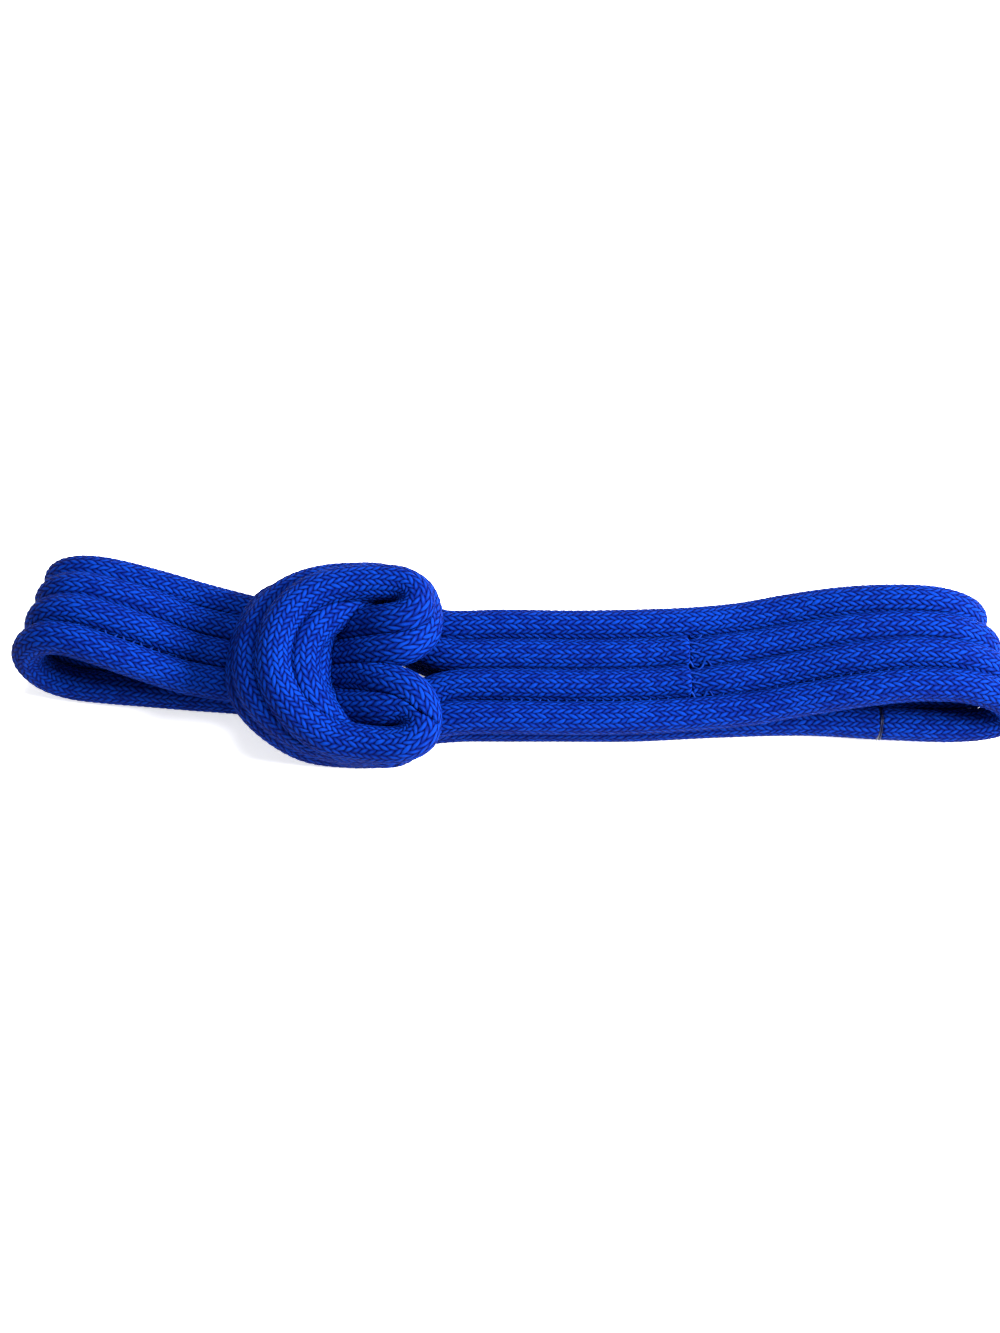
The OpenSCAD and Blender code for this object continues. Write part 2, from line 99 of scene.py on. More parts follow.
WRAP = [
    [[-53, 12.6, 8.4], [-46.5, 10.8, 8], [-40, 8.6, 8.2], [-35.4, 7.4, 10], [-32, 6.6, 12.8],
     [-28.8, 5.6, 16], [-24.8, 4.8, 19], [-21.2, 4.8, 20.4], [-19, 6.4, 20.6], [-18.8, 9.4, 20.6],
     [-21, 11.6, 20.6], [-25.2, 12.2, 20.6], [-31.4, 11.8, 20.8], [-37.6, 9.8, 21.2],
     [-42.4, 5, 21.4], [-44.2, -1.6, 21.4], [-43.4, -7.8, 20.4], [-39.8, -12.8, 17.8],
     [-34.4, -16.2, 15.4], [-28.6, -17.2, 14.8], [-24, -17.8, 15], [-20.4, -17.6, 15.4],
     [-18, -15.9, 15.9], [-18, -12.7, 16.4], [-20.8, -10.9, 16.6], [-25, -10.8, 15.8],
     [-29, -9.8, 13.6], [-32.6, -8.4, 10.8], [-36.4, -6.8, 8.8], [-40.6, -5.6, 8],
     [-46.5, -4.2, 8], [-53, -3.4, 8.4]],
    [[-53, 7.8, 8.4], [-46.5, 5.8, 8], [-40, 3.8, 8.2], [-35.4, 2.4, 9.8], [-32, 1, 12.4],
     [-28.4, 0.2, 15.4], [-24.4, -0.2, 17.8], [-20.8, 0, 18.6], [-17.8, 3, 17.6], [-17.4, 8, 16.2],
     [-19.2, 12.8, 15.6], [-24, 14.8, 15], [-30.4, 15.4, 15.2], [-37.4, 14.4, 15.8],
     [-43.2, 11, 17.2], [-47.2, 5.2, 18.4], [-48.8, -1.8, 18.8], [-47.8, -7.8, 17.8],
     [-44, -12.2, 15.4], [-38, -15.2, 12.2], [-31, -16, 10.4], [-24.8, -16, 10.4],
     [-20.2, -15.8, 12.4], [-17.4, -14, 15.4], [-17.8, -10.2, 17.4], [-20.8, -7.6, 18],
     [-24.8, -6, 16.8], [-28.4, -4, 14.4], [-32.4, -3, 11.2], [-36.4, -2, 8.8], [-40.6, -1.2, 8],
     [-46.5, 0.4, 8], [-53, 2.2, 8.4]],
    [[-53, 7.4, 3.1], [-46.5, 5.8, 3], [-40, 3.8, 3.2], [-35.4, 2.6, 4.6], [-31.6, 1.8, 7.2],
     [-27.8, 1.6, 10.2], [-24.2, 1.8, 12.6], [-20.8, 3, 13.6], [-18.2, 6.2, 13], [-17.8, 11, 11.4],
     [-19.4, 15.2, 8.8], [-22.4, 18, 5.6], [-28, 18.4, 4.2], [-35, 17.6, 5], [-41, 15.4, 8.2],
     [-46.6, 11.8, 12.6], [-50, 5.2, 13.2], [-51, -1.6, 13.2], [-50, -7.2, 12.8],
     [-45.8, -11.2, 9.4], [-39.4, -13.8, 5], [-32, -14.2, 3.1], [-26.4, -14.2, 3.1], [-22, -14.8, 6],
     [-19.2, -13.6, 10.8], [-18.6, -10.2, 12.8], [-21, -7, 13.2], [-24, -4.6, 12.4], [-28, -3.4, 9.8],
     [-32, -2.8, 6.8], [-36, -2, 4.4], [-40.6, -1.2, 3.2], [-46.5, 0.4, 3], [-53, 2.2, 3.1]],
    [[-53, 12.4, 3.1], [-46.5, 10.8, 3], [-40, 8.6, 3.2], [-35.4, 7.4, 4.8], [-31.6, 6.4, 7.8],
     [-28, 6, 11], [-24.4, 6.6, 13.8], [-21.6, 10, 14.8], [-21.6, 13.8, 12.8], [-25, 17.4, 10.6],
     [-31, 18.2, 10], [-37, 16.4, 10.6], [-42, 12.2, 12.4], [-45.2, 6.2, 13], [-46, -1.6, 13.2],
     [-45, -7.2, 12.8], [-40.8, -12.2, 10.4], [-34.6, -14.6, 7.6], [-28, -15.2, 6.6],
     [-23.6, -15, 7], [-21.4, -13.2, 9.2], [-22.6, -10.6, 10.6], [-26.2, -9.2, 9.6],
     [-30, -8.2, 7.2], [-34, -7.2, 4.8], [-38, -6.2, 3.4], [-42, -5.2, 3], [-47, -4.2, 3],
     [-53, -3.6, 3.1]],
]
BIGHT = [
    [[-11, 8.6, 9], [-16, 9.2, 8.2], [-21, 11.8, 7.6], [-26, 13.6, 9], [-31, 12.8, 12],
     [-35.6, 10.4, 15], [-40.4, 5.8, 17], [-42.2, -1.8, 17.4], [-41, -6.8, 16.4],
     [-37.6, -10.8, 13.4], [-33.4, -12.8, 9.4], [-28, -12.4, 6.4], [-22, -11.2, 6.8],
     [-16, -10.4, 8], [-11, -10, 9]],
    [[-11, 2.6, 9], [-16, 3.6, 8.2], [-20.6, 6.4, 8.4], [-24, 9.2, 10.8], [-27.2, 10.4, 14],
     [-31.4, 9, 16.6], [-35.6, 5.8, 18.2], [-38.4, 1.6, 18.8], [-39.2, -2.2, 18.8], [-38.8, -6.2, 18.4],
     [-37.2, -10, 16.8], [-34.4, -12.8, 13.6], [-30.6, -13.4, 10.6], [-26, -10.8, 8],
     [-21, -7.2, 8], [-16, -4.6, 8.2], [-11, -3.6, 9]],
    [[-11, 3.2, 3.1], [-16, 4, 3], [-21, 6.4, 3.2], [-26, 9.6, 5], [-30.4, 11, 8], [-34, 9.6, 12],
     [-37, 4.8, 13.6], [-38, -2.2, 13.8], [-37.2, -7.6, 13], [-33.6, -11.2, 11.2],
     [-30.6, -11.4, 7.4], [-26.6, -8, 3.6], [-21, -6, 3.1], [-11, -3, 3.1]],
    [[-11, 9.4, 3.1], [-16, 9.8, 3], [-21, 11.2, 3.1], [-26, 13.8, 4.2], [-31.4, 13.8, 6.8],
     [-36.4, 12.2, 9.8], [-40, 8.4, 12.6], [-41.4, 2.8, 13.2], [-41.6, -2.2, 13.2],
     [-40.8, -7.4, 12.4], [-37.6, -10.4, 8.8], [-33, -11, 4.4], [-27, -11.4, 3.1], [-20, -9.8, 3.1],
     [-11, -9.2, 3.1]],
]
ROUTE_STEP = 0.4 * MM  # spacing of the points that a route is worked out at
SMOOTHING = 1.2 * MM  # how far a route's corners are rounded


# ---------------------------------------------------------------- lines

def line_length(line):
    """Running length at each point of a line: the sum of the steps before it."""
    return np.concatenate([[0], np.cumsum(np.linalg.norm(np.diff(line, axis=0), axis=1))])


def at_lengths(line, places):
    """Points at these running lengths, straight between a line's own points."""
    run = line_length(line)
    return np.stack([np.interp(places, run, line[:, k]) for k in range(3)], axis=1)


def smooth_route(points):
    """One smooth curve through a route's points: a Catmull-Rom spline, cut into even steps and
    averaged with a bell curve, which takes the last corners out."""
    p = np.array(points, float) * MM
    q = np.concatenate([2 * p[:1] - p[1:2], p, 2 * p[-1:] - p[-2:-1]])
    a, b, c, d = (q[k:len(q) - 3 + k, None] for k in range(4))
    t = np.linspace(0, 1, 24, endpoint=False)[None, :, None]
    spline = 0.5 * (2 * b + (c - a) * t + (2 * a - 5 * b + 4 * c - d) * t ** 2
                    + (3 * b - a - 3 * c + d) * t ** 3)
    line = np.concatenate([spline.reshape(-1, 3), q[-2:-1]])
    run = line_length(line)
    line = at_lengths(line, np.linspace(0, run[-1], int(run[-1] / ROUTE_STEP)))
    reach = int(3 * SMOOTHING / ROUTE_STEP)
    bell = np.exp(-0.5 * (np.arange(-reach, reach + 1) * ROUTE_STEP / SMOOTHING) ** 2)
    bell /= bell.sum()
    before = 2 * line[0] - line[reach:0:-1]
    after = 2 * line[-1] - line[-2:-reach - 2:-1]
    padded = np.concatenate([before, line, after])
    return np.stack([np.convolve(padded[:, k], bell, "valid") for k in range(3)], axis=1)


def unit(v):
    """Vectors divided by their own length."""
    return v / np.maximum(np.linalg.norm(v, axis=-1, keepdims=True), 1e-12)


def turned(v, axis, angle):
    """Vectors v, square to their unit axes, turned about them."""
    return v * np.cos(angle)[:, None] + np.cross(axis, v) * np.sin(angle)[:, None]


def frames(line):
    """Heading, side and top of each ring. The side is any direction square to the heading, turned
    back by the sum of the twists between one ring and the next, so that the braid doesn't spin."""
    heading = unit(np.gradient(line, axis=0))
    rough = np.where(np.abs(heading[:, 2:]) < 0.9, [[0.0, 0.0, 1.0]], [[1.0, 0.0, 0.0]])
    side = unit(rough - heading * (rough * heading).sum(1, keepdims=True))
    carried = unit(side[:-1] - heading[1:] * (side[:-1] * heading[1:]).sum(1, keepdims=True))
    twist = np.arctan2((np.cross(side[1:], carried) * heading[1:]).sum(1),
                       (side[1:] * carried).sum(1))
    side = turned(side, heading, np.concatenate([[0], np.cumsum(twist)]))
    return heading, side, np.cross(heading, side)


# ---------------------------------------------------------------- braid

def larger(a, b):
    """The larger of two values, for arrays and for wires alike."""
    return (a + b + abs(a - b)) / 2


def tick(across, along):
    """Height of one tick: an ellipse across its row and along its slanted line."""
    left_over = 1 - (across / 0.64) ** 2 - ((along % 1 - 0.5) / 0.52) ** 2
    return larger(left_over, 0) ** 0.5


def braid_height(u, v):
    """Height of a braid's surface, 0 in its holes and 1 on its crowns. u counts the rows round
    the cord and v the ticks along it. Rows slant to and fro in turn and are half a tick apart,
    and each tick reaches a little into the rows beside it, so that they lock."""
    across = u % 1 - 0.5
    odd = (u - u % 1) % 2
    way = 1 - 2 * odd
    beside = across + 1 - 2 * (across + 1 - (across + 1) % 1)
    own = tick(across, v + SLANT * way * across + odd / 2)
    other = tick(beside, v - SLANT * way * beside + (1 - odd) / 2)
    return larger(own, other)


def grid_mesh(name, points, material, uv_steps=(1, 1)):
    """A tube from rings of points. Each face joins two neighbours on a ring to the next ring, and
    a fan closes each end. The map 'braid' counts rows round and ticks along it."""
    rings, sides = points.shape[:2]
    i, k = np.meshgrid(np.arange(rings - 1), np.arange(sides), indexing="ij")
    nxt = (k + 1) % sides
    quads = np.stack([i * sides + k, i * sides + nxt,
                      (i + 1) * sides + nxt, (i + 1) * sides + k], -1)
    corners = quads.reshape(-1)
    starts = np.arange(len(corners) // 4) * 4
    totals = np.full(len(starts), 4)
    u = np.stack([k, k + 1, k + 1, k], -1).reshape(-1)
    v = np.stack([i, i, i + 1, i + 1], -1).reshape(-1)
    vertices = points.reshape(-1, 3)
    around = np.arange(sides)
    first = np.stack([np.full(sides, len(vertices)), (around + 1) % sides, around], -1)
    last = np.stack([np.full(sides, len(vertices) + 1), around, (around + 1) % sides], -1)
    last[:, 1:] += (rings - 1) * sides
    vertices = np.concatenate([vertices, points[0].mean(0)[None], points[-1].mean(0)[None]])
    fans = np.concatenate([first, last]).reshape(-1)
    starts = np.concatenate([starts, len(corners) + 3 * np.arange(2 * sides)])
    totals = np.concatenate([totals, np.full(2 * sides, 3)])
    corners = np.concatenate([corners, fans])
    fan_u = np.stack([around + 0.5, around + 1, around], -1).reshape(-1)
    u = np.concatenate([u, np.tile(fan_u, 2)])
    v = np.concatenate([v, np.repeat([0, rings - 1], 3 * sides)])
    mesh = bpy.data.meshes.new(name)
    mesh.vertices.add(len(vertices))
    mesh.vertices.foreach_set("co", vertices.astype(np.float32).reshape(-1))
    mesh.loops.add(len(corners))
    mesh.loops.foreach_set("vertex_index", corners.astype(np.int32))
    mesh.polygons.add(len(starts))
    mesh.polygons.foreach_set("loop_start", starts.astype(np.int32))
    mesh.polygons.foreach_set("loop_total", totals.astype(np.int32))
    mesh.polygons.foreach_set("use_smooth", np.ones(len(starts), bool))
    layer = mesh.uv_layers.new(name="braid")
    uv = np.stack([u / uv_steps[0], v / uv_steps[1]], -1).astype(np.float32)
    layer.data.foreach_set("uv", uv.reshape(-1))
    mesh.update(calc_edges=True)
    mesh.validate()
    mesh.materials.append(material)
    piece = bpy.data.objects.new(name, mesh)
    bpy.context.collection.objects.link(piece)
    return piece


def outward(line, sides):
    """Directions away from a line at each of its points: the cosine and sine of even angles."""
    _, side, top = frames(line)
    angle = 2 * np.pi * np.arange(sides) / sides
    return np.cos(angle)[None, :, None] * side[:, None] + np.sin(angle)[None, :, None] * top[:, None]


def tube_points(line, radius, sides):
    """Rings round a line: its points plus the radius times the outward directions."""
    room = np.broadcast_to(radius, (len(line), sides))
    return line[:, None] + room[..., None] * outward(line, sides)


def free_room(out, others):
    """How far each point of each ring may stand from the line before it meets a neighbouring cord:
    the plane halfway to each of the nearest points of the others, less a hair, but never less
    than the thinnest radius. Cords whose lines are nearer than twice that cut into each other."""
    room = np.full(out.shape[:2], np.inf)
    for first in range(0, len(out), PRESS_BATCH):
        part = slice(first, first + PRESS_BATCH)
        to = others[part]
        gap = np.linalg.norm(to, axis=2)
        near = np.argsort(gap, axis=1)[:, :PRESS_NEAREST]
        to = np.take_along_axis(to, near[..., None], 1)
        gap = np.take_along_axis(gap, near, 1)
        along = np.einsum("rsk,rnk->rsn", out[part], to)
        limit = (gap / 2 - PRESS_GAP) * gap
        reach = np.where(along > 1e-9, limit[:, None] / np.maximum(along, 1e-9), np.inf)
        room[part] = reach.min(2)
    return np.maximum(room, THINNEST)


# ---------------------------------------------------------------- materials

class Wire:
    """One value in a material. Arithmetic on wires adds the Math nodes that work it out, and
    node() adds any other node and gives its first output."""

    def __init__(self, tree, socket=None):
        self.tree, self.socket = tree, socket

    def node(self, kind, settings=(), values=()):
        made = self.tree.nodes.new(kind)
        for name, value in dict(settings).items():
            setattr(made, name, value)
        sockets = {s.identifier: s for s in made.inputs}
        for name, value in dict(values).items():
            if isinstance(value, Wire):
                self.tree.links.new(value.socket, sockets[name])
            else:
                sockets[name].default_value = value
        return Wire(self.tree, made.outputs[0] if made.outputs else None)

    def output(self, name):
        return Wire(self.tree, {s.identifier: s for s in self.socket.node.outputs}[name])

    def math(self, operation, a, b=0.0):
        return self.node("ShaderNodeMath", {"operation": operation}, {"Value": a, "Value_001": b})

    def __add__(self, other):
        return self.math("ADD", self, other)

    def __radd__(self, other):
        return self.math("ADD", other, self)

    def __sub__(self, other):
        return self.math("SUBTRACT", self, other)

    def __rsub__(self, other):
        return self.math("SUBTRACT", other, self)

    def __mul__(self, other):
        return self.math("MULTIPLY", self, other)

    def __rmul__(self, other):
        return self.math("MULTIPLY", other, self)

    def __truediv__(self, other):
        return self.math("DIVIDE", self, other)

    def __pow__(self, other):
        if other == 2:
            return self.math("MULTIPLY", self, self)
        return self.math("POWER", self, other)

    def __mod__(self, other):
        return self.math("FLOORED_MODULO", self, other)

    def __abs__(self):
        return self.math("ABSOLUTE", self)


def new_material(name):
    """An empty material, and a wire that stands for its node tree."""
    material = bpy.data.materials.new(name)
    material.use_nodes = True
    material.node_tree.nodes.clear()
    return material, Wire(material.node_tree)


def finish_material(wire, values):
    """Adds the Principled shader with these values and joins it to the output."""
    shader = wire.node("ShaderNodeBsdfPrincipled", {}, values)
    wire.node("ShaderNodeOutputMaterial", {}, {"Surface": shader})


def mixed(wire, factor, a, b):
    """Colour a where the factor is 0 and b where it is 1."""
    node = wire.node("ShaderNodeMix", {"data_type": "RGBA"},
                     {"Factor_Float": factor, "A_Color": a, "B_Color": b})
    return node.output("Result_Color")


# painted highlight colour for the braid's crowns
CROWN_HIGHLIGHT_BLUE = (0.0006, 0.0205, 0.195, 1)
BODY_BLUE = (0.0001, 0.0055, 0.088, 1)
# painted shade for the braid's holes, and the real dark tone of a melted end
HOLE_SHADE_AND_MELT_BLUE = (0.0001, 0.0008, 0.022, 1)
THREAD_BLUE = (0.002, 0.022, 0.17, 1)
FUSED_BLUE = (0.001, 0.008, 0.09, 1)
CORE_WHITE = (0.72, 0.75, 0.80, 1)
# painted shade between the core yarn's plies
CORE_PLY_SHADE_GREY = (0.45, 0.48, 0.55, 1)
SWAY = 0.5  # how far the rows wander, in rows


def braid_material(name):
    """Braided polyester: painted shade in the holes and a painted highlight on the crowns, both by
    the braid's height, with each tick a tone of its own, drifting colour along the cord and fine
    filaments along the ticks."""
    material, wire = new_material(name)
    uv = wire.node("ShaderNodeUVMap", {"uv_map": "braid"})
    place = wire.node("ShaderNodeTexCoord").output("Object")
    sway = wire.node("ShaderNodeTexNoise", {}, {"Vector": place, "Scale": 420.0, "Detail": 1.0})
    straight = wire.node("ShaderNodeSeparateXYZ", {}, {"Vector": uv})
    u = straight + (sway - 0.5) * SWAY
    v = straight.output("Y") + (sway - 0.5) * SWAY
    height = braid_height(u, v)
    drift = wire.node("ShaderNodeTexNoise", {}, {"Vector": place, "Scale": 90.0, "Detail": 3.0})
    fuzz = wire.node("ShaderNodeTexNoise", {}, {"Vector": place, "Scale": 2600.0, "Detail": 2.0})
    row = u - u % 1
    place_along = v + SLANT * (1 - 2 * (row % 2)) * (u % 1 - 0.5) + (row % 2) / 2
    cell = wire.node("ShaderNodeCombineXYZ", {}, {"X": row, "Y": place_along - place_along % 1})
    shade = wire.node("ShaderNodeTexWhiteNoise", {"noise_dimensions": "2D"}, {"Vector": cell})
    filament = abs((place_along * 7) % 1 - 0.5)
    # painted highlight on the crowns by the braid's height, plus a random tone for each tick and along
    # the cord
    crown = (height * height - 0.4) * 1.9 + (shade - 0.5) * 0.9 + (drift - 0.5) * 0.8
    # painted shade: the body colour darkens towards the holes by the braid's depth
    body_with_hole_shade = mixed(wire, height * 2.0 - 0.35, HOLE_SHADE_AND_MELT_BLUE, BODY_BLUE)
    colour = mixed(wire, crown, body_with_hole_shade, CROWN_HIGHLIGHT_BLUE)
    bump = wire.node("ShaderNodeBump", {}, {"Strength": 0.9, "Distance": RELIEF,
                                            "Height": height + filament * 0.16 + fuzz * 0.25})
    finish_material(wire, {
        "Base Color": colour, "Normal": bump,
        "Roughness": 0.85 - height * 0.1 + (fuzz - 0.5) * 0.1,
        "Specular IOR Level": 0.02})
    return material


def strand_material(name, light, dark, turns, roughness):
    """Twisted yarn or thread: fine slanting plies, lighter on their crowns, with painted shade that
    darkens the grooves between them towards the dark colour, and random fuzz mixed in.
    """
    material, wire = new_material(name)
    uv = wire.node("ShaderNodeUVMap", {"uv_map": "braid"})
    u = wire.node("ShaderNodeSeparateXYZ", {}, {"Vector": uv})
    ply = abs((u * turns + u.output("Y") * 0.5) % 1 - 0.5) * 2
    place = wire.node("ShaderNodeTexCoord").output("Object")
    fuzz = wire.node("ShaderNodeTexNoise", {}, {"Vector": place, "Scale": 1500.0, "Detail": 3.0})
    # painted shade: darker in the grooves between plies by their height, partly random fuzz
    colour = mixed(wire, ply * 0.6 + fuzz * 0.5, dark, light)
    bump = wire.node("ShaderNodeBump", {}, {"Strength": 0.6, "Distance": 0.1 * MM, "Height": ply})
    finish_material(wire, {
        "Base Color": colour, "Normal": bump, "Roughness": roughness + (fuzz - 0.5) * 0.2,
        "Specular IOR Level": 0.03})
    return material


def fused_material(name):
    """Cord melted into a skin: dark and smooth, with small pits and runs."""
    material, wire = new_material(name)
    place = wire.node("ShaderNodeTexCoord").output("Object")
    runs = wire.node("ShaderNodeTexNoise", {}, {"Vector": place, "Scale": 900.0, "Detail": 4.0})
    pits = wire.node("ShaderNodeTexVoronoi", {}, {"Vector": place, "Scale": 1400.0})
    colour = mixed(wire, runs, HOLE_SHADE_AND_MELT_BLUE, FUSED_BLUE)
    bump = wire.node("ShaderNodeBump", {}, {"Strength": 0.5, "Distance": 0.15 * MM,
                                            "Height": runs + pits * 0.4})
    finish_material(wire, {"Base Color": colour, "Normal": bump, "Roughness": 0.25 + runs * 0.3})
    return material


BRAID = braid_material("blue_braid")
# The second colour of each yarn is painted shade in the grooves between its plies.
THREAD = strand_material("sewing_thread", THREAD_BLUE, BODY_BLUE, 0.5, 0.5)
CORE = strand_material("core_yarn", CORE_WHITE, CORE_PLY_SHADE_GREY, 1.0, 0.7)
FUSED = fused_material("fused_cord_end")


# ---------------------------------------------------------------- cords

def back(route):
    """The same points from the other end."""
    return route[::-1]


# Where an endless cord's own butt joint is put: the place of a point inside the hitch.
HIDDEN = 4
MIDDLE_CUT = 3  # place of the point at the middle cut in RIGHT[1] and RIGHT[2]
LOWER_CUT = 13  # place of the point at the lower cut in RIGHT[3]
CORD_ROUTES = {
    "left_outer_cord": WRAP[3][HIDDEN:] + back(LEFT[3]) + back(WRAP[0]) + LEFT[0]
    + WRAP[3][:HIDDEN + 1],
    "left_inner_cord": WRAP[2][HIDDEN:] + back(LEFT[2]) + back(WRAP[1]) + LEFT[1]
    + WRAP[2][:HIDDEN + 1],
    "right_outer_cord": back(RIGHT[3][:LOWER_CUT + 1]) + back(BIGHT[0]) + RIGHT[0] + BIGHT[3]
    + back(RIGHT[3][LOWER_CUT:]),
    "right_inner_cord": RIGHT[1][MIDDLE_CUT:] + BIGHT[2] + back(RIGHT[2][MIDDLE_CUT:]),
    "short_inner_cord": back(RIGHT[1][:MIDDLE_CUT + 1]) + BIGHT[1] + RIGHT[2][:MIDDLE_CUT + 1],
}
STANDS_FOR = {
    "left_outer": ["left_{}_1", "left_{}_4", "wrap_{}_1", "wrap_{}_4"],
    "left_inner": ["left_{}_2", "left_{}_3", "wrap_{}_2", "wrap_{}_3"],
    "right_outer": ["right_{}_1", "right_{}_4", "lower_{}_4", "bight_{}_1", "bight_{}_4"],
    "right_inner": ["right_{}_2", "right_{}_3", "bight_{}_3"],
    "short_inner": ["short_{}_2", "short_{}_3", "bight_{}_2"],
}
# How far the ends at a cut stand up from the band, or sink into it, over how long a stretch.
END_LIFT = {"right_inner_cord": -1.2 * MM, "short_inner_cord": 0.8 * MM}
END_REACH = 4 * MM  # the stretch over which they do so
JOINT_REACH = 6 * MM  # within this of two facing ends, they don't press on each other


def centreline(name):
    """A cord's own line, a ring for each quarter of a tick, shortened by half the gap at each end,
    with the ends lifted by a bell curve of the distance to them."""
    line = smooth_route(CORD_ROUTES[name])
    run = line_length(line)[-1]
    ticks = int((run - 2 * CUT_GAP) / TICK_L)
    places = np.linspace(CUT_GAP, run - CUT_GAP, ticks * STEPS_PER_TICK + 1)
    line = at_lengths(line, places)
    nearer = np.minimum(places, run - places)
    line[:, 2] += END_LIFT.get(name, 0) * np.exp(-(nearer / END_REACH) ** 2)
    return line


def free_radius(line):
    """A cord's radius along its line before its neighbours press on it: a little fuller within
    the hitch than outside it, with a smooth change over a few millimetres."""
    x = line[:, 0]
    inside = 1 / (1 + np.exp((np.maximum(HITCH_X[0] - x, x - HITCH_X[1])) / (1.5 * MM)))
    return CORD_R + (HITCH_R - CORD_R) * inside


def rounded_end(line):
    """A share of the radius, 1 along the cord and falling as a quarter circle at each end."""
    run = line_length(line)
    depth = np.clip(np.minimum(run, run[-1] - run) / END_ROUNDING, 0, 1)
    return 0.8 + 0.2 * np.sqrt(1 - (1 - depth) ** 2)


LINES = {name: centreline(name) for name in CORD_ROUTES}


def neighbours(name):
    """Points of every cord that could press on this one, seen from each of its rings: those of
    the other cords, and its own where they are well away along it. Two ends that face each other
    across a cut don't press."""
    line = LINES[name]
    run = line_length(line)
    thin = slice(None, None, 3)
    from_end = np.minimum(run, run[-1] - run)
    to = []
    for other in LINES:
        if other != name:
            away = LINES[other][None, thin] - line[:, None]
            far = line_length(LINES[other])[thin]
            far = np.minimum(far, far[-1] - far)
            away[(from_end[:, None] < JOINT_REACH) & (far[None] < JOINT_REACH)] = 1.0
            to.append(away)
    own = line[None, thin] - line[:, None]
    apart = abs(run[None, thin] - run[:, None])
    close = np.minimum(apart, run[-1] - apart) < SELF_PRESS
    own[close] = 1.0
    return np.concatenate(to + [own], axis=1)


def make_cord(name):
    """One length of braided cord. Each ring is round, pressed flat where a neighbour is nearer
    than its radius, bulging beside the flat by what the pressing took away, and carries the
    braid's ticks."""
    line = LINES[name]
    radius = free_radius(line)
    sides = ROWS * STEPS_PER_ROW
    out = outward(line, sides)
    room = free_room(out, neighbours(name))
    pressed = np.minimum(radius[:, None], room)
    lost = 1 - pressed / radius[:, None]
    bell = np.hanning(PRESS_BLUR) / np.hanning(PRESS_BLUR).sum()
    half = PRESS_BLUR // 2
    lost = sum(w * np.roll(lost, k - half, axis=1) for k, w in enumerate(bell))
    padded = np.pad(lost, ((half, half), (0, 0)), mode="edge")
    lost = sum(w * padded[k:k + len(line)] for k, w in enumerate(bell))
    full = 1 + np.minimum(BULGE * lost, MOST_BULGE)
    u = np.arange(sides) / STEPS_PER_ROW
    v = np.arange(len(line)) / STEPS_PER_TICK
    height = braid_height(u[None, :] + 0 * v[:, None], v[:, None] + 0 * u[None, :])
    surface = radius[:, None] * full + RELIEF * (height - 0.7)
    surface = np.minimum(surface, room + RELIEF * 0.35 * (height - 1)) * rounded_end(line)[:, None]
    points = line[:, None] + surface[..., None] * out
    points[..., 2] = np.maximum(points[..., 2], 0.02 * MM)
    return grid_mesh(name, points, BRAID, (STEPS_PER_ROW, STEPS_PER_TICK))


def make_core(name):
    """The yarns inside a cord: a plain tube of its core's radius along the same line, ending a
    little inside the cord's own ends."""
    line = LINES[name + "_cord"][::3]
    last = line_length(line)[-1] - CORE_INSET
    line = at_lengths(line, np.linspace(CORE_INSET, last, len(line)))
    points = tube_points(line, (free_radius(line) * CORE_SHARE)[:, None], CORE_SIDES)
    return grid_mesh(name + "_core", points, CORE)


def bend_with_strap(piece, name):
    """Bakes a piece's transform into its mesh, the same way for a piece of either band."""
    if name.startswith("left"):
        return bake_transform(piece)
    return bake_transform(piece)


for name, nodes in STANDS_FOR.items():
    cord = make_cord(name + "_cord")
    bend_with_strap(cord, name)
    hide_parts(*(n.format("cord") for n in nodes))
    core = make_core(name)
    bend_with_strap(core, name)
    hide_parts(*(n.format("core") for n in nodes))


# ---------------------------------------------------------------- seams and joints

ZIGZAG_L = 3.4 * MM  # one to and fro of the sewing thread
ZIGZAG_W = 0.95 * MM  # how far it reaches on to each cord
SEAM_STEP = 0.28 * MM  # spacing of the seam's rings
SEAM_SINK = 0.35 * MM  # how far the thread is drawn into the cords
SEAM_DIP = 0.65  # how closely it follows their round tops: 1 fully, 0 not at all
SEAM_LEAST = 0.6 * MM  # the least height on a cord that is worked with


def make_seam(name, first, second, way):
    """A zigzag of sewing thread that draws two cords together: a sine across the groove, which
    lies on the cords where it reaches furthest and dips between them."""
    a = smooth_route(first)
    b = smooth_route(second)
    count = int(line_length(a)[-1] / SEAM_STEP)
    share = np.linspace(0, 1, count)
    a = at_lengths(a, share * line_length(a)[-1])
    b = at_lengths(b, share * line_length(b)[-1])
    middle = (a + b) / 2
    heading = unit(np.gradient(middle, axis=0))
    across = unit(a - b)
    up = way * unit(np.cross(across, heading))
    swing = np.sin(2 * np.pi * line_length(middle) / ZIGZAG_L)
    half = np.linalg.norm(a - b, axis=1) / 2
    on_cord = np.sqrt(np.maximum(CORD_R ** 2 - (half - abs(swing) * ZIGZAG_W) ** 2,
                                 SEAM_LEAST ** 2))
    height = (1 - SEAM_DIP) * on_cord.min() + SEAM_DIP * on_cord - SEAM_SINK
    line = middle + (swing * ZIGZAG_W)[:, None] * across + height[:, None] * up
    points = tube_points(line, THREAD_R, THREAD_SIDES)
    seam = grid_mesh(name.replace("seam", "seam_thread"), points, THREAD, (THREAD_SIDES, 4))
    bend_with_strap(seam, name)
    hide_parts(name)
    return seam


for k in range(3):
    make_seam(f"left_seam_{k + 1}", LEFT[k], LEFT[k + 1], 1)
    make_seam(f"right_seam_{k + 1}", RIGHT[k], RIGHT[k + 1], -1)


SKIN_RINGS, SKIN_SIDES = 10, 28
SKIN_RISE = 0.32 * MM  # height of a melted end's dome
SKIN_SINK = 0.12 * MM  # how far its rim sits inside the cord's end


